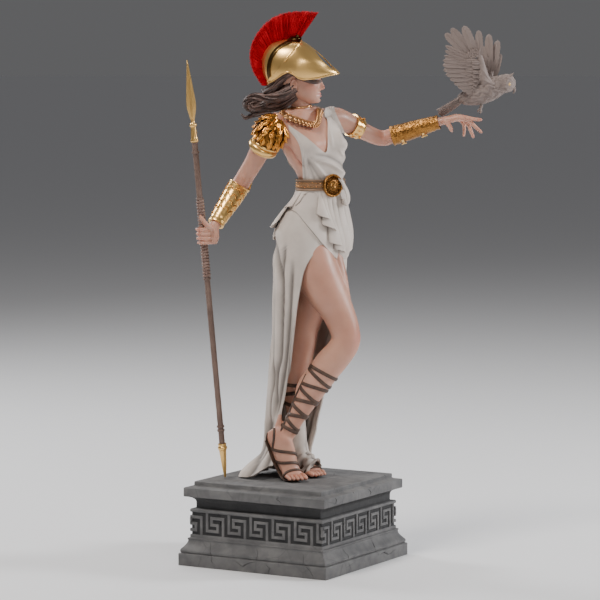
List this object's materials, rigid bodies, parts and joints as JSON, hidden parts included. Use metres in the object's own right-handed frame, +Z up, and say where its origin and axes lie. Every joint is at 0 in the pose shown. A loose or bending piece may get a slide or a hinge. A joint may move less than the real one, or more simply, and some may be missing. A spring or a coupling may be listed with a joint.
{
  "type": "athena statue",
  "caption": "Display statue of a standing helmeted goddess with a spear and an owl, in a draped dress, on a square plinth with a meander band.",
  "frame": {"origin": "centre of the plinth's flat underside", "axes": "+Z up, X and Y along the plinth's sides; the figure faces between +X and -Y"},
  "size_m": [0.2565, 0.2544, 0.5549],
  "materials": {
    "plinth_stone": "mid grey cast stone, dry and slightly worn",
    "painted_resin": "painted resin: pale skin, off-white dress, brown hair and sandals",
    "polished_gold": "polished warm gold with darker recesses",
    "antique_gold": "dark hammered antique gold",
    "copper_gold": "copper-toned gold beads",
    "brown_leather": "brown leather with a gold sheen",
    "brown_wood": "taupe brown shaft with a bound grip",
    "red_plume": "saturated red brush with fine radial strands",
    "grey_plumage": "grey-taupe carved feathers with paler tips"
  },
  "bodies": {
    "root": {"plinth": "plinth_stone", "figure": "painted_resin", "helmet": "polished_gold", "crest": "red_plume", "pauldron": "polished_gold", "collar": "copper_gold", "choker": "copper_gold", "vambrace_right": "polished_gold", "vambrace_left": "antique_gold", "armlet": "polished_gold", "belt": "brown_leather", "belt_medallion": "antique_gold", "spear_shaft": "brown_wood", "spear_head": "polished_gold", "spear_butt": "polished_gold", "owl": "grey_plumage"}
  },
  "joints": []
}
